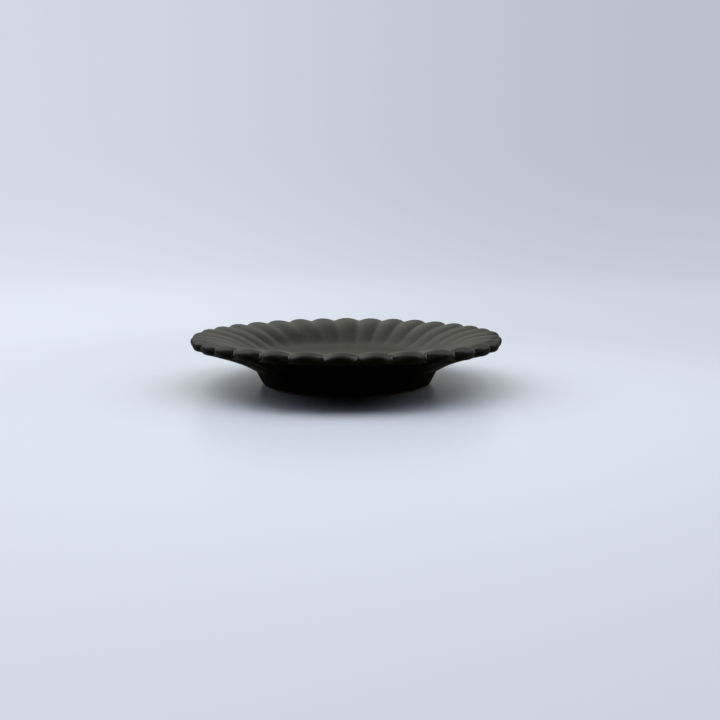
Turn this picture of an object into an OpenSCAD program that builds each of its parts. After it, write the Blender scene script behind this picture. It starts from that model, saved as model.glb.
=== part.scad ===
// Dessert plate in black glazed stoneware: a shallow dish of rounded petals on a raised foot ring.
// The dish is pressed in one piece. The foot ring is turned apart and stuck under it with slip.
// Millimetres, +Z up, the origin at the centre of the face that the plate stands on.
// A petal's crest lies on the +X axis.

/* [Dish] */
// Diameter across the petal tips
dish_d = 160; // [144:1:190]
// Height of the crests at the rim above the underside of the floor
dish_h = 17.2; // [15:0.2:22]
// Diameter at which the floor and the wall would meet in a sharp corner
floor_d = 88; // [80:1:98]
// Thickness of the floor
floor_t = 4; // [3:0.2:6]
// Angle at which a crest leaves the floor, from level
crest_rise = 34; // [28:1:42]
// Angle at which a groove leaves the floor, from level
groove_rise = 30; // [18:1:33]
// Length over which the wall keeps that first angle
rise_reach = 12; // [8:0.5:14]
// Length by which the rounding between the floor and the wall runs to either side of the corner
verge_round = 9; // [4:0.5:11]
// Angle at which the wall reaches the rim, from level
rim_slope = 6; // [2:1:14]
// Length over which the wall keeps its angle at the rim
rim_reach = 15; // [10:0.5:18]

/* [Petals] */
// Number of petals round the dish
petals = 32; // [20:1:36]
// How far the grooves lie below the crests at the rim
groove_drop = 1.4; // [0.6:0.1:2]
// How far the notches at the rim lie inside the petal tips
notch_in = 2.6; // [1:0.1:3.2]
// Fullness of a petal: 2 is an arc, and more is flatter on top with steeper sides
petal_fullness = 2.2; // [1.8:0.1:3]
// Rounding of a groove's bottom, as a share of half a petal's width
groove_round = 0.2; // [0.05:0.05:0.4]

/* [Lip] */
// Thickness of the lip at a crest
lip_t = 5.8; // [4.6:0.1:7]
// Width of the rounding over the lip, from a crest's top out to its tip
lip_round = 4.2; // [2:0.1:5]
// Width of the same rounding in a notch
notch_round = 3.2; // [2:0.1:6]
// How far the tips lie below the top of the crests
tip_drop = 2.4; // [0.8:0.1:2.8]
// How far the lip falls in a notch, from the end of the groove to the foremost point
notch_drop = 3.8; // [1.4:0.1:4.2]
// Width of the rounding under the lip
lip_under = 2.2; // [0.8:0.1:3]
// Angle of the underside next to the lip, from level
lip_slope = 18; // [10:1:24]
// Angle of the underside next to the foot ring, from level
foot_slope = 31; // [24:1:38]
// Length over which the underside keeps each of these angles
under_reach = 10; // [6:0.5:12]

/* [Foot ring] */
// Outer diameter at the bottom
foot_d = 87; // [76:1:92]
// How far its outside leans out from the bottom to the top
foot_flare = 4.5; // [1:0.1:7]
// Height of the ring
foot_h = 8.8; // [6:0.2:14]
// Width of the ring at the bottom
foot_w = 5; // [3.6:0.2:8]
// Rounding of both edges at the bottom
foot_round = 1.2; // [0.4:0.1:1.6]

/* [Slip joint] */
// Thickness of the slip between the foot ring and the dish
seam_t = 0.6; // [0.3:0.1:1.2]
// How far the slip stands out past the ring on both sides
seam_bead = 0.5; // [0.2:0.1:1]
// Width of the flat ledge under the dish, outside the slip
ledge_w = 1.6; // [0.6:0.1:3]

/* [Hidden] */

glaze_colour = "#1e1e1c";
slip_colour = "#3a352e";

// Heights of the pieces, each on the one below it
seat_z = foot_h + seam_t;
floor_z = seat_z + floor_t;
rim_z = seat_z + dish_h;

tip_r = dish_d/2;
foot_r = foot_d/2;
foot_top_r = foot_r + foot_flare;
foot_bore_r = foot_r - foot_w;
seat_r = foot_top_r + seam_bead + ledge_w;

// Straight steps along each stretch of the dish's section, round a petal, an arc and a turned ring
verge_steps = 3;
wall_steps = 7;
lip_steps = 3;
under_steps = 5;
petal_steps = 6;
arc_steps = 6;
turn_steps = petals*petal_steps;
lathe_steps = 180;

// Point on a cubic curve with four control points, at a share t of its way
function curve(p, t) =
    pow(1 - t, 3)*p[0] + 3*pow(1 - t, 2)*t*p[1] + 3*(1 - t)*t*t*p[2] + pow(t, 3)*p[3];

// Point that lies at a distance from p, in a direction given from level
function away(p, direction, distance) = p + distance*[cos(direction), sin(direction)];

// Points on a quarter of an ellipse that leaves p level and reaches q upright
function round_over(p, q, t) =
    [p[0] + (q[0] - p[0])*sin(90*t), q[1] + (p[1] - q[1])*cos(90*t)];

// Points on a quarter of an ellipse that leaves p upright and reaches q level
function round_under(p, q, t) =
    [q[0] + (p[0] - q[0])*cos(90*t), p[1] + (q[1] - p[1])*sin(90*t)];

// Section of the dish as points of radius and height, from the edge of the flat floor over the wall
// and the lip to the edge of the flat seat below. The grooves are set in and down from the crests.
// The top of the lip is a quarter of an ellipse of the width over_w and the height over_h.
// The corner between the floor and the wall gives way to a curve that leaves both without a kink.
function dish_section(rise, drop, inset, over_w, over_h) =
    let (
        verge = [floor_d/2, floor_z],
        rim = [tip_r - inset - over_w, rim_z - drop],
        tip = [tip_r - inset, rim_z - drop - over_h],
        lip_base = [tip_r - lip_under - inset, rim_z - lip_t],
        seat = [seat_r, seat_z],
        wall = [verge, away(verge, rise, rise_reach), away(rim, rim_slope, -rim_reach), rim],
        leave = verge_round/(3*rise_reach),
        level = verge - [verge_round, 0],
        risen = curve(wall, leave),
        bend = [level, level + (verge - level)*2/3, risen + (verge - risen)*2/3, risen],
        under = [
            lip_base,
            away(lip_base, lip_slope, -under_reach),
            away(seat, foot_slope, under_reach),
            seat
        ]
    )
    concat(
        [for (i = [0:verge_steps]) curve(bend, i/verge_steps)],
        [for (i = [1:wall_steps]) curve(wall, leave + (1 - leave)*i/wall_steps)],
        [for (i = [1:lip_steps]) round_over(rim, tip, i/lip_steps)],
        [for (i = [1:lip_steps]) round_under(tip, lip_base, i/lip_steps)],
        [for (i = [1:under_steps]) curve(under, i/under_steps)]
    );

// Share of the way from groove to crest at step k round the dish: 1 on a crest, 0 in a groove
function swell(k) =
    let (
        from_groove = 1 - abs(2*((k/petal_steps + 0.5) % 1) - 1),
        softened = norm([from_groove, groove_round]) - groove_round,
        share = softened/(norm([1, groove_round]) - groove_round)
    )
    1 - pow(1 - share, petal_fullness);

// Points on the arc that rounds corner p between the points a and b
function rounded(a, p, b, radius) =
    let (
        to_a = (a - p)/norm(a - p),
        to_b = (b - p)/norm(b - p),
        half = acos(to_a*to_b)/2,
        centre = p + (to_a + to_b)/norm(to_a + to_b)*radius/sin(half),
        first = p + to_a*radius/tan(half) - centre,
        last = p + to_b*radius/tan(half) - centre,
        start = atan2(first[1], first[0]),
        sweep = ((atan2(last[1], last[0]) - start) + 540) % 360 - 180
    )
    [for (i = [0:arc_steps]) away(centre, start + sweep*i/arc_steps, radius)];

// The fluted dish: its section turned round the axis, swelling from groove to crest at each petal
module dish() {
    groove = dish_section(groove_rise, groove_drop, notch_in, notch_round, notch_drop);
    crest = dish_section(crest_rise, 0, 0, lip_round, tip_drop);
    rings = len(crest);
    skin = [
        for (i = [0:rings - 1])
            for (k = [0:turn_steps - 1])
                let (
                    p = groove[i] + swell(k)*(crest[i] - groove[i]),
                    angle = 360*k/turn_steps
                )
                [p[0]*cos(angle), p[0]*sin(angle), p[1]]
    ];
    floor_centre = len(skin);
    seat_centre = floor_centre + 1;
    points = concat(skin, [[0, 0, floor_z], [0, 0, seat_z]]);
    walls = [
        for (i = [0:rings - 2])
            for (k = [0:turn_steps - 1])
                let (
                    next = (k + 1) % turn_steps,
                    a = i*turn_steps + k,
                    b = i*turn_steps + next,
                    c = a + turn_steps,
                    d = b + turn_steps
                )
                each [[a, b, d], [a, d, c]]
    ];
    floor_fan = [
        for (k = [0:turn_steps - 1])
            [floor_centre, (k + 1) % turn_steps, k]
    ];
    last_ring = (rings - 1)*turn_steps;
    seat_fan = [
        for (k = [0:turn_steps - 1])
            [seat_centre, last_ring + k, last_ring + (k + 1) % turn_steps]
    ];
    color(glaze_colour)
        polyhedron(points, concat(floor_fan, walls, seat_fan), convexity = 6);
}

// The foot ring: flat below and above, leaning in towards the table, with rounded bottom edges
module foot_ring() {
    outer_top = [foot_top_r, foot_h];
    outer_base = [foot_r, 0];
    inner_base = [foot_bore_r, 0];
    inner_top = [foot_bore_r, foot_h];
    color(glaze_colour)
        rotate_extrude($fn = lathe_steps)
            polygon(concat(
                [outer_top, inner_top],
                rounded(inner_top, inner_base, outer_base, foot_round),
                rounded(inner_base, outer_base, outer_top, foot_round)
            ));
}

// The slip: a thin bed on the foot ring that bulges out in a round bead at both edges
module slip_seam() {
    bead_r = seam_t/2;
    inner_r = foot_bore_r - seam_bead + bead_r;
    outer_r = foot_top_r + seam_bead - bead_r;
    middle_z = foot_h + bead_r;
    color(slip_colour)
        rotate_extrude($fn = lathe_steps)
            polygon(concat(
                [for (i = [0:arc_steps]) away([outer_r, middle_z], -90 + 180*i/arc_steps, bead_r)],
                [for (i = [0:arc_steps]) away([inner_r, middle_z], 90 + 180*i/arc_steps, bead_r)]
            ));
}

dish();
foot_ring();
slip_seam();
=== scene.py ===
# %% [markdown]
# # A dessert plate of petals
# The plate is dark stoneware: a dish pressed into rounded petals, a foot ring that is turned apart, and
# the slip that joins the two. The solids of these three pieces are already made to size. This lesson
# loads them as a fixed frame, lays a finer skin over each one, and finishes the skins as a potter would.

# %% Load the solids as a fixed frame
import math

import bpy
import numpy as np
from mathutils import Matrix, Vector


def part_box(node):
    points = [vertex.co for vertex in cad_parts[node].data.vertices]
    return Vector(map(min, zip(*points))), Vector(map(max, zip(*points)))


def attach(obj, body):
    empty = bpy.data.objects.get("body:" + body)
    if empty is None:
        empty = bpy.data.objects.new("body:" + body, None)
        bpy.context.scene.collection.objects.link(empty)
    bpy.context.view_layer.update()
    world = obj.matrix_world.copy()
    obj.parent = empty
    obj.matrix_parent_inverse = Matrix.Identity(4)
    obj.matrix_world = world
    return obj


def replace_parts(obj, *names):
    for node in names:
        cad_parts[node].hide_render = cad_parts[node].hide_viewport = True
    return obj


MM = 0.001
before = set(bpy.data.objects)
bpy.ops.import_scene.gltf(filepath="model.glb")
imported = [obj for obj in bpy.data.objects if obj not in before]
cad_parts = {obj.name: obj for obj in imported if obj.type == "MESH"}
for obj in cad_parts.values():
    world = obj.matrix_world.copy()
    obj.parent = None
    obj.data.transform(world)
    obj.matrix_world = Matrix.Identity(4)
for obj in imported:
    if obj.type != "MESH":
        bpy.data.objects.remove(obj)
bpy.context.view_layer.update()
print("pieces:", ", ".join(sorted(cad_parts)))

# %% [markdown]
# ## The section of the dish
# Cut through its middle, the dish shows a flat floor, a wall that leaves the floor steeply and flattens
# towards the rim, a thick rounded lip, and an underside that slopes back to the foot. One section could
# be drawn as a curve and turned with a Screw modifier. Here it is a numpy function, because the dish
# needs two of them: one along a petal's crest and one along a groove. Both have the same number of
# points, so that the surface can pass smoothly from one to the other.

# %% Curves that the sections are made of
def shares(steps, first=0.0):
    """Even shares of the way along a stretch, from just after its first point to its last."""
    return np.linspace(first, 1, steps + 1)[1:]


def curve(points, share):
    """Cubic curve with four control points, which at a share t of the way are weighted by (1-t)^3,
    3(1-t)^2 t, 3(1-t)t^2 and t^3."""
    t = share[:, None]
    return np.hstack([(1 - t)**3, 3*(1 - t)**2*t, 3*(1 - t)*t**2, t**3]) @ np.array(points)


def away(point, degrees, distance):
    """The point at a distance from another, in a direction given from level."""
    return point + distance*np.array([math.cos(math.radians(degrees)), math.sin(math.radians(degrees))])


def quarter(start, end, share, level_first):
    """Quarter of an ellipse between two points, which leaves the first one level or upright: one
    coordinate follows the sine of the turned angle, and the other 1 less its cosine."""
    sine, fall = np.sin(share*math.pi/2)[:, None], 1 - np.cos(share*math.pi/2)[:, None]
    weights = np.hstack([sine, fall] if level_first else [fall, sine])
    return start + (end - start)*weights


half_way = quarter(np.zeros(2), np.ones(2), np.array([0.5]), True)
print("half way along a quarter circle:", np.round(half_way, 3))

# %% Sizes of the section
dish_low, dish_high = (np.array(corner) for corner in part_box("dish"))
seam_low, seam_high = (np.array(corner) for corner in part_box("slip_seam"))
tip_r, rim_z, seat_z = dish_high[0], dish_high[2], dish_low[2]

ledge_w, floor_t = 1.6*MM, 4*MM
seat_r, floor_z = seam_high[0] + ledge_w, seat_z + floor_t
floor_r, floor_sag, verge_round = 44*MM, 0.3*MM, 9*MM
rise_reach, rim_slope, rim_reach = 12*MM, 6, 15*MM
lip_t, lip_under, lip_slope = 5.8*MM, 2.2*MM, 18
foot_slope, under_reach, seat_round = 31, 10*MM, 0.4*MM
print("the floor lies", np.round(floor_z/MM, 1), "mm and the rim", np.round(rim_z/MM, 1), "mm high")

# %% Section along a crest or along a groove
def dish_section(rise, drop, inset, over_w, over_h):
    """Radius and height of points from the middle of the floor, over the wall and the lip, to the seat
    below. The floor sags by a parabola, curves round off the corner to the wall and draw the wall and the
    underside, and the lip is two quarter ellipses. A groove is set in and down from a crest."""
    verge = np.array([floor_r, floor_z])
    rim = np.array([tip_r - over_w - inset, rim_z - drop])
    tip = np.array([tip_r - inset, rim_z - drop - over_h])
    lip_base = np.array([tip_r - inset - lip_under, rim_z - lip_t])
    seat = np.array([seat_r, seat_z])
    wall = [verge, away(verge, rise, rise_reach), away(rim, rim_slope, -rim_reach), rim]
    under = [lip_base, away(lip_base, lip_slope, -under_reach),
             away(seat, foot_slope, under_reach), seat]
    radius = (floor_r - verge_round)*np.array([0.1, 0.4, 0.7, 0.9, 1])
    floor = np.column_stack([radius, floor_z - floor_sag*(1 - (radius/floor_r)**2)])
    leave = verge_round/(3*rise_reach)
    start, end = floor[-1], curve(wall, np.array([leave]))[0]
    bend = [start, start + (verge - start)*2/3, end + (verge - end)*2/3, end]
    return np.concatenate([
        floor,
        curve(bend, shares(6)),
        curve(wall, shares(34, leave)),
        quarter(rim, tip, shares(12), True),
        quarter(tip, lip_base, shares(10), False),
        curve(under, shares(20)),
        np.array([[seat_r - seat_round, seat_z], [seat_r*0.6, seat_z], [seat_r*0.1, seat_z]]),
    ])


crest = dish_section(rise=34, drop=0, inset=0, over_w=4.2*MM, over_h=2.4*MM)
groove = dish_section(rise=30, drop=1.4*MM, inset=2.6*MM, over_w=3.2*MM, over_h=3.8*MM)
section_reach = np.round(crest[:, 0].max()/MM, 1)
print("each section has", len(crest), "points and reaches radius", section_reach, "mm")

# %% [markdown]
# ## The petals
# Round the dish, each petal swells from a groove to its crest and back. The swell is a power curve,
# which is full on top and meets its neighbour in a narrow valley, and glaze that has run into the valley
# softens its bottom. Pressed clay is never quite even, so each petal is a little narrower, lower or
# shorter than the next. Those in front were pushed a little to the left, and at the right in front the
# rim droops. The lengths and heights only shrink, so the skin stays inside its solid's box.

# %% Place of each petal round the dish
petals, petal_steps = 32, 22
petal_width = 2*math.pi/petals
uneven_width = 0.03
front, front_spread, front_shift = 1.5*math.pi, 0.9, 0.19
hand = np.random.default_rng(5)

share = np.arange(petal_steps)/petal_steps
share = 0.5*share + 0.25*(1 - np.cos(math.pi*share))
groove_step = np.arange(petals) - 0.5 + hand.uniform(-uneven_width, uneven_width, petals)
groove_angle = groove_step*petal_width
groove_angle -= front_shift*petal_width*np.exp(-((groove_angle - front)/front_spread)**2)
width = np.diff(groove_angle, append=groove_angle[0] + 2*math.pi)
angle = (groove_angle[:, None] + share*width[:, None]).ravel()
narrowest, widest = np.round(np.array([width.min(), width.max()])*tip_r/MM, 1)
print(petals, "petals, from", narrowest, "to", widest, "mm wide")

# %% Swell of each petal
petal_fullness = 2.2
valley_round_floor, valley_round_rim = 0.35, 0.1
uneven_length, uneven_height = 0.35*MM, 0.25*MM


def softened(distance, radius):
    """Distance from a sharp valley with its bottom rounded: a hyperbola that still reaches 1 at 1."""
    return (np.sqrt(distance**2 + radius**2) - radius)/(np.sqrt(1 + radius**2) - radius)


reach = np.clip((crest[:, :1] - floor_r)/(tip_r - floor_r), 0, 1)
valley_round = valley_round_floor + (valley_round_rim - valley_round_floor)*reach
from_groove = softened(np.tile(1 - np.abs(2*share - 1), petals), valley_round)
swell = 1 - (1 - from_groove)**petal_fullness
shorter = np.repeat(hand.uniform(0, uneven_length, petals), petal_steps)
lower = np.repeat(hand.uniform(0, uneven_height, petals), petal_steps)
print("petals are up to", np.round(shorter.max()/MM, 2), "mm shorter than the longest could be")

# %% [markdown]
# ## From grid to mesh
# A grid of points becomes a mesh by joining each point to its neighbours in the next row and the next
# column. The columns close round the axis. A section that ends on the axis gets one point there and a
# fan of triangles, and a ring's section closes on itself. Values that follow the surface, such as how
# near the lip a point is, go along as attributes for the materials to read.

# %% Helpers that turn a section into a mesh
def even_turn(steps):
    """Angles all the way round, at even steps."""
    return np.arange(steps)*2*math.pi/steps


def spun(section, turn):
    """The same section at every angle of a turn, as rows of the section and columns of the turn."""
    return section[:, None, :]*np.ones((1, len(turn), 1))


def turned(profile, turn):
    """Points at (radius cos angle, radius sin angle, height) for each row and column of a profile."""
    radius, height = profile[..., 0], profile[..., 1]
    return np.stack([radius*np.cos(turn), radius*np.sin(turn), height], -1).reshape(-1, 3)


def joined(here, there):
    """Quads from each point of a row to the next column and the row beside it, facing outwards."""
    corners = [here, there, np.roll(there, -1, 1), np.roll(here, -1, 1)]
    return np.stack(corners, -1).reshape(-1, 4).tolist()


def smooth_mesh(name, vertices, faces):
    """Mesh of these points and faces, shaded smooth."""
    mesh = bpy.data.meshes.new(name)
    mesh.from_pydata(vertices.tolist(), [], faces)
    mesh.polygons.foreach_set("use_smooth", np.ones(len(mesh.polygons), dtype=bool))
    return mesh


print("a turn of 4 steps, in degrees:", np.degrees(even_turn(4)))

# %% Helper that makes a piece from its grid
def grid_piece(name, node, slot, profile, turn, poles=(), **measures):
    """Skin of a node, from a profile of section rows and turned columns. With the heights of two poles
    the section ends on the axis in fans, and without them it closes on itself."""
    rows, columns = profile.shape[:2]
    index = np.arange(rows*columns).reshape(rows, columns)
    vertices = turned(profile, turn)
    if poles:
        faces = joined(index[:-1], index[1:])
        vertices = np.vstack([vertices, [[0, 0, z] for z in poles]])
        first, last = np.full(columns, rows*columns), np.full(columns, rows*columns + 1)
        faces += np.column_stack([first, index[0], np.roll(index[0], -1)]).tolist()
        faces += np.column_stack([last, np.roll(index[-1], -1), index[-1]]).tolist()
    else:
        faces = joined(index, np.roll(index, -1, 0))
    mesh = smooth_mesh(name, vertices, faces)
    for measure, values in measures.items():
        at_poles = [values[0].mean(), values[-1].mean()] if poles else []
        layer = mesh.attributes.new(measure, "FLOAT", "POINT")
        layer.data.foreach_set("value", np.concatenate([values.ravel(), at_poles]).astype(np.float32))
    mesh.update()
    piece = bpy.data.objects.new(name, mesh)
    bpy.context.collection.objects.link(piece)
    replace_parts(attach(piece, "root"), node)
    print(name, "has", sum(len(face) - 2 for face in faces), "triangles and is", end=" ")
    print(np.round(np.ptp(vertices, axis=0)/MM, 2), "mm in size")
    return piece


# %% [markdown]
# ## The dish
# A real one is made by pressing a slab of clay into a fluted mould and rounding its lip with a wet
# sponge. In Blender it could be one petal, modelled and then arrayed, but all would be alike and the
# floor would have to be joined on. One surface does it all: the groove's section, plus the swell times
# the step from groove to crest.

# %% Skin of the dish
tilt_depth, tilt_from = 0.15*MM, math.radians(50)
droop_depth, droop_at, droop_spread = 0.7*MM, math.radians(320), 0.5
lip_rows_past_rim, lip_rows_spread = 7, 9

profile = groove[:, None, :] + swell[..., None]*(crest - groove)[:, None, :]
profile[..., 0] -= reach**2*swell*shorter
tilt = tilt_depth*(1 - np.cos(angle - tilt_from))
droop = droop_depth*np.exp(-((angle - droop_at)/droop_spread)**2)
profile[..., 1] -= reach**2*(swell*lower + tilt + droop)

lip_row = int(np.argmax(crest[:, 1])) + lip_rows_past_rim
near_lip = np.exp(-((np.arange(len(crest)) - lip_row)/lip_rows_spread)**2)
lip = near_lip[:, None]*np.ones_like(swell)
relief = np.where(crest[:, :1] > floor_r - verge_round, swell, 0.5)
dish = grid_piece("petal_dish", "dish", "dish_glaze", profile, angle,
                  poles=(floor_z - floor_sag, seat_z), lip=lip, relief=relief)

# %% [markdown]
# ## The foot ring
# The ring is turned on a wheel and leans in towards the table. A cone with its edges bevelled would be
# near enough, but the closed section with its own rounding at each corner gives the soft edges that a
# sponge leaves.

# %% Foot ring
foot_high = np.array(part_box("foot_ring")[1])
foot_top_r, foot_h = foot_high[0], foot_high[2]
foot_lean, foot_w = 4.5*MM, 5*MM
foot_r = foot_top_r - foot_lean
foot_bore_r = foot_r - foot_w
top_round, outer_round, inner_round = 0.4*MM, 1.4*MM, 1.2*MM
arc_share = 0.55


def rounded_section(corners, cuts, corner_steps=8, side_steps=12):
    """Closed polygon whose corners are cut back and bridged by a curve close to an arc, with even steps
    along each side."""
    cuts = np.array(cuts)[:, None]
    before, after = np.roll(corners, 1, 0) - corners, np.roll(corners, -1, 0) - corners
    start = corners + before/np.linalg.norm(before, axis=1)[:, None]*cuts
    end = corners + after/np.linalg.norm(after, axis=1)[:, None]*cuts
    leaving, arriving = start + (corners - start)*arc_share, end + (corners - end)*arc_share
    bends = curve(np.stack([start, leaving, arriving, end], 1), np.linspace(0, 1, corner_steps + 1))
    along = shares(side_steps)[:-1, None]
    sides = end[:, None] + along*(np.roll(start, -1, 0) - end)[:, None]
    return np.concatenate([bends, sides], 1).reshape(-1, 2)


ring_turn = even_turn(288)
ring_corners = np.array([[foot_top_r, foot_h], [foot_r, 0], [foot_bore_r, 0], [foot_bore_r, foot_h]])
ring_section = rounded_section(ring_corners, [top_round, outer_round, inner_round, top_round])
foot = grid_piece("turned_foot_ring", "foot_ring", "foot_glaze", spun(ring_section, ring_turn), ring_turn)

# %% [markdown]
# ## The slip
# Slip is clay thinned with water, which sticks the ring to the dish. When the two are pressed together
# a little squeezes out, so its edges are round and waver. It could be a bevelled curve bent into a
# circle. The same closed section does it too, with the radius drawn in by a few sine waves round the
# ring.

# %% Slip between the foot ring and the dish
seam_bead, bead_round, waver_depth = 0.5*MM, 0.3*MM, 0.1*MM
seam_out, seam_in = seam_high[0], foot_bore_r - seam_bead
seam_top, seam_base = seam_high[2], seam_low[2]

seam_corners = np.array([[seam_out, seam_top], [seam_out, seam_base],
                         [seam_in, seam_base], [seam_in, seam_top]])
seam_section = rounded_section(seam_corners, [bead_round]*4, side_steps=4)
waver = 2 + np.sin(7*ring_turn + 1) + 0.6*np.sin(19*ring_turn) + 0.4*np.sin(43*ring_turn + 2)
outwards = np.sign(seam_section[:, :1] - seam_section[:, 0].mean())
seam_profile = spun(seam_section, ring_turn)
seam_profile[..., 0] -= waver_depth*waver*outwards
slip = grid_piece("slip_bead", "slip_seam", "slip", seam_profile, ring_turn)

# %% [markdown]
# ## Writing finishes as sums
# A finish is a net of nodes. Wiring each node by hand hides the idea, so a small class stands for one
# socket, and adding or multiplying two of them adds the Math node that does it. All other nodes come
# from one method, and the few that every finish needs have a function each.

# %% Class that writes sums as nodes
class Wire:
    """A socket of a node tree, on which Python's operators add Math nodes."""

    def __init__(self, tree, socket=None):
        self.tree, self.socket = tree, socket

    def add(self, kind, settings=(), sockets=(), output=0):
        """Adds a node: its settings first, then values or wires for its sockets. Gives one output."""
        node = self.tree.nodes.new(kind)
        for key, value in dict(settings).items():
            setattr(node, key, value)
        for key, value in dict(sockets).items():
            if isinstance(value, Wire):
                self.tree.links.new(value.socket, node.inputs[key])
            else:
                node.inputs[key].default_value = value
        return Wire(self.tree, node.outputs[output] if node.outputs else None)

    def maths(self, operation, *values):
        """Adds a Math node on these values."""
        return self.add("ShaderNodeMath", {"operation": operation}, enumerate(values))

    def __add__(self, other):
        return self.maths("ADD", self, other)

    def __sub__(self, other):
        return self.maths("SUBTRACT", self, other)

    def __rsub__(self, other):
        return self.maths("SUBTRACT", other, self)

    def __mul__(self, other):
        return self.maths("MULTIPLY", self, other)

    __radd__, __rmul__ = __add__, __mul__


print("finishes can be written as sums of wires")

# %% Values that a finish reads
def own_place(wire):
    """Place on the piece, in its own coordinates."""
    return wire.add("ShaderNodeTexCoord", output="Object")


def one_axis(place, axis):
    """One coordinate of a place or a direction."""
    return place.add("ShaderNodeSeparateXYZ", (), {"Vector": place}, output=axis)


def axis_distance(place):
    """Distance from the plate's axis: the length of a place whose height is made nothing."""
    level = place.add("ShaderNodeVectorMath", {"operation": "MULTIPLY"}, {0: place, 1: (1, 1, 0)})
    return place.add("ShaderNodeVectorMath", {"operation": "LENGTH"}, {0: level}, output="Value")


def carried(wire, measure):
    """Value that the points of the piece carry as an attribute."""
    return wire.add("ShaderNodeAttribute", {"attribute_name": measure}, output="Fac")


def ray_is(wire, kind):
    """1 for a ray of this kind, and 0 for others."""
    return wire.add("ShaderNodeLightPath", output=f"Is {kind} Ray")


def grain(place, size, detail=3.0):
    """Soft noise from 0 to 1 with lumps of about one size."""
    return place.add("ShaderNodeTexNoise", (), {"Vector": place, "Scale": 1/size, "Detail": detail})


print("finishes can read places, attributes, rays and noise")

# %% What a finish makes of them
def between(value, low, high):
    """Smooth step from 0 at the low value to 1 at the high one."""
    return value.add("ShaderNodeMapRange", {"interpolation_type": "SMOOTHSTEP"},
                     {"Value": value, "From Min": low, "From Max": high})


def blended(share, first, second):
    """Colour that passes from the first to the second as the share goes from 0 to 1."""
    return share.add("ShaderNodeMix", {"data_type": "RGBA"}, {0: share, 6: first, 7: second}, output=2)


def bumped(height, depth):
    """Normal of a surface whose height from 0 to 1 stands for a depth in metres."""
    return height.add("ShaderNodeBump", (), {"Height": height, "Distance": depth})


def finish(name):
    """Empty finish, as a wire to start from."""
    material = bpy.data.materials.new(name)
    material.use_nodes = True
    material.node_tree.nodes.clear()
    return material, Wire(material.node_tree)


def coat(wire, **sockets):
    """Ends a finish in one surface shader."""
    named = {key.replace("_", " "): value for key, value in sockets.items()}
    surface = wire.add("ShaderNodeBsdfPrincipled", (), named)
    wire.add("ShaderNodeOutputMaterial", (), {"Surface": surface})


print("finishes can step, blend, bump and end in a coat")

# %% [markdown]
# ## Satin black glaze
# The glaze is a black that is a little warm, neither matt nor mirror-bright. It runs thin over the lip
# and crests, where the clay under it shows brown and the skin is duller, and pools in the grooves,
# where it is glossier. The floor is rubbed by cutlery and a little duller. The skin has a faint orange
# peel, and a few pinholes where gas escaped in the kiln. Painted maps would show all this, but noise on
# the object's own coordinates does it at any size and has no seam.

# %% Parts of the glaze that the dish and the foot share
BLACK = (0.012, 0.0114, 0.006, 1)
THIN = (0.027, 0.0225, 0.014, 1)
cloud_size, peel_size, speck_size, pinhole_gap = 24*MM, 2.2*MM, 1.1*MM, 4.5*MM


def glaze_parts(wire):
    """Place, clouds, specks and the skin's height: peel and specks, less the pinholes."""
    place = own_place(wire)
    clouds, specks = grain(place, cloud_size), grain(place, speck_size, 2.0)
    cells = place.add("ShaderNodeTexVoronoi", (), {"Vector": place, "Scale": 1/pinhole_gap})
    pinholes = 1 - between(cells, 0.03, 0.07)
    skin = 0.7*grain(place, peel_size, 2.0) + 0.3*specks - 0.8*pinholes
    return place, clouds, specks, skin


print("glaze passes from", BLACK[:3], "to", THIN[:3], "where it is thin")

# %% Glaze of the dish
rubbed_r, fresh_r = 36*MM, 48*MM
peel_depth = 0.02*MM

black_glaze, wire = finish("satin_black_glaze")
place, clouds, specks, skin = glaze_parts(wire)
lip_share, relief_share = carried(wire, "lip"), carried(wire, "relief")
lip_crest = lip_share*relief_share
pooled = lip_share*(1 - relief_share)
thin = lip_crest*between(clouds*0.6 + specks*0.4, 0.3, 0.75)
rubbed = between(axis_distance(place), fresh_r, rubbed_r)
coat(wire, Base_Color=blended(thin*0.5, BLACK, THIN),
     Roughness=0.25 + 0.07*clouds + 0.05*specks + 0.12*rubbed + 0.22*lip_crest - 0.17*pooled,
     Specular_IOR_Level=0.25,
     Normal=bumped(skin, peel_depth))
dish.data.materials.append(black_glaze)
print(black_glaze.name, "has", len(black_glaze.node_tree.nodes), "nodes")

# %% [markdown]
# ## Glazed foot with a bare edge
# Glaze would stick the plate to the kiln shelf, so the potter wipes it off the standing edge and the
# clay stays bare there. Height above the table tells the two apart, with noise for the unsteady line of
# the sponge. The glaze side keeps the rings of the turning tool, as a sine of the height.

# %% Finish of the foot ring
CLAY = (0.5, 0.4, 0.29, 1)
SPECK = (0.12, 0.085, 0.055, 1)
wiped_h, wiped_blur, wiped_waver, waver_size = 1.2*MM, 0.15*MM, 0.5*MM, 5*MM
clay_speck_size, clay_grain_size = 0.8*MM, 0.5*MM
ring_pitch, ring_drift, tool_depth = 1.4*MM, 3, 0.04*MM

foot_finish, wire = finish("foot_glaze_and_bare_clay")
place, clouds, specks, skin = glaze_parts(wire)
height = one_axis(place, "Z")
sponge_line = height + wiped_waver*(grain(place, waver_size) - 0.5)
bare = 1 - between(sponge_line, wiped_h - wiped_blur, wiped_h + wiped_blur)
clay = blended(between(grain(place, clay_speck_size), 0.55, 0.7), CLAY, SPECK)
phase = height*(2*math.pi/ring_pitch) + clouds*ring_drift
rings = phase.maths("SINE", phase)
coat(wire, Base_Color=blended(bare, blended(specks*0.12, BLACK, THIN), clay),
     Roughness=0.5 + 0.08*clouds + 0.35*bare,
     Specular_IOR_Level=0.12,
     Normal=bumped(skin + 0.35*rings*(1 - bare) + bare*grain(place, clay_grain_size), tool_depth))
foot.data.materials.append(foot_finish)
print(foot_finish.name, "has", len(foot_finish.node_tree.nodes), "nodes")

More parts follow.
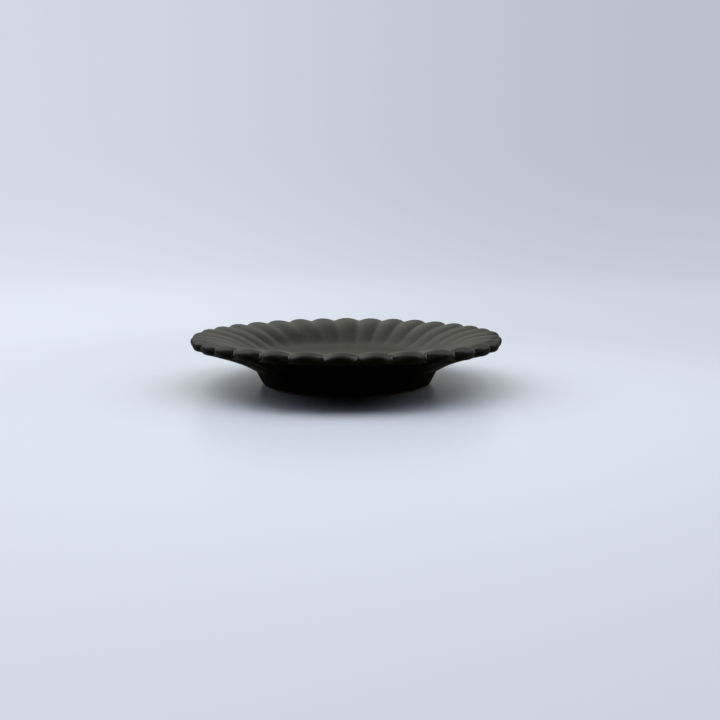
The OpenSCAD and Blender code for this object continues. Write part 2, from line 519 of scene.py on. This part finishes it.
# %% [markdown]
# ## Slip under thin glaze
# The bead of slip is coarser than the body, and the glaze over it is thin, so it is browner and duller.
# It could share the foot's finish, but one noise of its own for colour, dullness and height shows the
# lumps.

# %% Finish of the slip
SLIP_DARK = (0.022, 0.02, 0.014, 1)
SLIP_PALE = (0.045, 0.038, 0.027, 1)
lump_size, lump_depth = 1.6*MM, 0.12*MM

slip_finish, wire = finish("thin_glaze_on_slip")
lumps = grain(own_place(wire), lump_size)
coat(wire, Base_Color=blended(between(lumps, 0.35, 0.7), SLIP_DARK, SLIP_PALE),
     Roughness=0.5 + 0.25*lumps,
     Normal=bumped(lumps, lump_depth))
slip.data.materials.append(slip_finish)
print(slip_finish.name, "has", len(slip_finish.node_tree.nodes), "nodes")

# %% [markdown]
# ## The table
# The plate stands on a pale table that sweeps up all round into a backdrop, so that no horizon shows. A
# plane and a curved wall would do for one view, and a bowl does for all of them. Near the plate the table
# is paper with a slight gloss, which carries the shadow. To every ray but the camera's the paper is nearly
# black: that is painted shade, so that no light bounces from it onto the plate's underside and front.
# Further out, what the camera sees, and what reflections see behind the plate, is a pale glow with painted
# shade that darkens to the right, upwards and towards the front, and the backdrop lets the light of the
# room through to the plate.

# %% Table and backdrop
table_r, sweep_r, backdrop_h = 1.5, 0.9, 1.0
wall_r = table_r + sweep_r
table_turn = even_turn(96)

sweep = quarter(np.array([table_r, 0.0]), np.array([wall_r, sweep_r]), shares(16), True)
table_section = np.vstack([[[0.02, 0], [0.3, 0], [table_r, 0]], sweep, [[wall_r, backdrop_h]]])
ground = turned(spun(table_section, table_turn), table_turn)
index = np.arange(len(ground)).reshape(len(table_section), -1)
table_mesh = smooth_mesh("table", ground, joined(index[:-1], index[1:]) + [index[0].tolist()])
table = bpy.data.objects.new("table", table_mesh)
bpy.context.collection.objects.link(table)
print("table and backdrop of", len(table_mesh.polygons), "faces")

# %% Pale finish of the table
PALE = (0.78, 0.84, 0.92, 1)
SHADE = (0.455, 0.49, 0.56, 1)
PAPER = (0.8, 0.855, 0.925, 1)
# painted shade: the colour the paper shows to every ray but the camera's, so that no light bounces from it
# onto the plate
BOUNCE_SHADE = (0.04, 0.04, 0.038, 1)
paper_r, even_r = 0.12, 0.34
mirror_r, full_mirror_r = 0.5, 1.0
closed_r, open_r = 1.0, 1.2

table_finish, wire = finish("pale_table")
place = own_place(wire)
across, deep, high = (one_axis(place, axis) for axis in "XYZ")
from_plate = axis_distance(place)
seen, mirrored, through = (ray_is(wire, kind) for kind in ("Camera", "Glossy", "Transmission"))
behind = between(deep - 0.4*from_plate, -0.1, 0.1)
shown = seen*between(from_plate, paper_r, even_r)
shown = shown + (mirrored + through)*behind*between(from_plate, mirror_r, full_mirror_r)
aside = place.maths("DIVIDE", across, from_plate + 0.4)
# painted shade: the backdrop's pale glow darkens to the right, upwards and towards the front
painted_backdrop_shade = 0.45*between(aside, -0.45, 0.45) + 0.42*between(from_plate + 2*high, 0.2, 3.2)
painted_backdrop_shade = painted_backdrop_shade + 0.3*between(0 - deep, 0, 0.3)
# pale glow of the backdrop, which carries the painted shade above and is not an even tone
even = wire.add("ShaderNodeEmission", (), {"Color": blended(painted_backdrop_shade, PALE, SHADE)})
# painted shade: pale paper for the camera, nearly black for the light that would bounce onto the plate
paper_with_painted_shade = blended(seen, BOUNCE_SHADE, PAPER)
paper = wire.add("ShaderNodeBsdfPrincipled", (), {"Base Color": paper_with_painted_shade, "Roughness": 0.3})
both = wire.add("ShaderNodeMixShader", (), {0: shown, 1: paper, 2: even})
passed = (1 - seen)*between(from_plate, closed_r, open_r)
clear = wire.add("ShaderNodeBsdfTransparent")
open_room = wire.add("ShaderNodeMixShader", (), {0: passed, 1: both, 2: clear})
wire.add("ShaderNodeOutputMaterial", (), {"Surface": open_room})
table_mesh.materials.append(table_finish)
print("table shades from", PALE[:3], "to", SHADE[:3])

# %% [markdown]
# ## Light
# Two tall softboxes, as cool as daylight, stand high at the left and the right, so the shadow is soft
# and lies close under the plate. The room glows from behind and above, most of all at the left. The
# glaze mirrors this glow on the floor and the far wall, while the near petals turn away from it and
# stay dark. In front the room is dim, and only shows in reflections. A ring of small lamps would put a
# spark on every petal, which the satin glaze doesn't show.

# %% Softboxes
DAYLIGHT = (0.895, 0.924, 1.0)
softbox_out, softbox_back, softbox_up = 0.6, 0.08, 0.78
softbox_w, softbox_h = 0.7, 1.3


def softbox(name, side, watts):
    """Oblong lamp that stands high at a side, -1 for left and 1 for right, and faces the plate."""
    place = (side*softbox_out, softbox_back, softbox_up)
    lamp = bpy.data.lights.new(name, "AREA")
    lamp.shape, lamp.size, lamp.size_y = "RECTANGLE", softbox_w, softbox_h
    lamp.energy, lamp.color = watts, DAYLIGHT
    hung = bpy.data.objects.new(name, lamp)
    hung.location = place
    hung.rotation_euler = Vector(place).to_track_quat("Z", "Y").to_euler()
    bpy.context.collection.objects.link(hung)
    print(name, "of", watts, "W at", place)


softbox("left_softbox", -1, 7.15)
softbox("right_softbox", 1, 6.95)

# %% Light of the room
ROOM_DARK = (0.0, 0.0, 0.0, 1)
ROOM_GLOW = (1.5, 1.51, 1.41, 1)
glow_way = (0, 0.9, 0.45)
front_glow = 0.1

room = bpy.data.worlds.new("room")
room.use_nodes = True
room.node_tree.nodes.clear()
wire = Wire(room.node_tree)
way = wire.add("ShaderNodeTexCoord", output="Generated")
lean = way.add("ShaderNodeVectorMath", {"operation": "DOT_PRODUCT"}, {0: way, 1: glow_way}, output="Value")
across, deep, high = (one_axis(way, axis) for axis in "XYZ")
bright = between(lean, 0.15, 0.95)*between(high, -0.35, 0.65)*between(across*high*high, 0.45, -0.45)
in_front = between(deep, 0, -0.7)*between(high, 0, 0.4)
bright = bright + front_glow*ray_is(wire, "Glossy")*in_front
glow = wire.add("ShaderNodeBackground", (), {"Color": blended(bright, ROOM_DARK, ROOM_GLOW)})
wire.add("ShaderNodeOutputWorld", (), {"Surface": glow})
bpy.context.scene.world = room
print("room glows up to", ROOM_GLOW[:3])

# %% [markdown]
# ## Camera
# The camera looks a little down on the plate from in front. Its place and lens come from matching the
# notches of the rim and the plate's outline to the photograph. A Track To constraint would aim it too,
# but two angles say as much.

# %% Camera
sensor_mm, focal_mm = 36, 37.02
camera_away, camera_up = 384.7*MM, 70.17*MM
look_down, look_right = 8.666, 1.042

lens = bpy.data.cameras.new("camera")
lens.sensor_width, lens.lens = sensor_mm, focal_mm
camera = bpy.data.objects.new("camera", lens)
camera.location = (0, -camera_away, camera_up)
camera.rotation_euler = (math.radians(90 - look_down), 0, math.radians(-look_right))
bpy.context.collection.objects.link(camera)
bpy.context.scene.camera = camera
bpy.context.scene.view_settings.view_transform = "Standard"
print("camera at", [round(value, 4) for value in camera.location])
